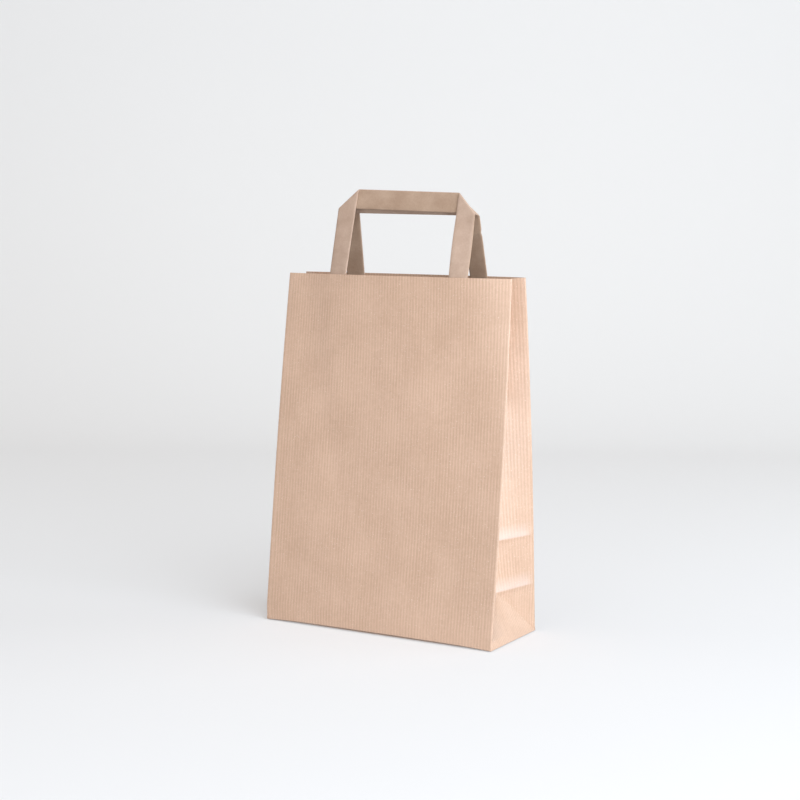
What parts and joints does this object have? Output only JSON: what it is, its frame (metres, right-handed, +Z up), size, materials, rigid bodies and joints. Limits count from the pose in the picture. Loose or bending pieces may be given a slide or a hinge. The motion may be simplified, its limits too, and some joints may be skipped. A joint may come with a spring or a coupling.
{
  "type": "paper carrier bag",
  "caption": "Upright ribbed kraft paper bag with a folded block base, inward folded side gussets and two folded flat paper tape handles.",
  "frame": {"origin": "under the middle of the base, on the surface that the bag stands on", "axes": "+Z up through the open mouth, +X to the right along the wide front panel, +Y from the front panel to the back panel"},
  "size_m": [0.2219, 0.086, 0.3776],
  "materials": {
    "ribbed_kraft": "matt machine-glazed kraft with fine upright ribs",
    "tape_kraft": "smooth matt kraft tape",
    "patch_kraft": "plain matt kraft"
  },
  "bodies": {
    "root": {"bag_body": "ribbed_kraft", "handle_front": "tape_kraft", "handle_back": "tape_kraft", "handle_patch_front": "patch_kraft", "handle_patch_back": "patch_kraft"}
  },
  "joints": []
}
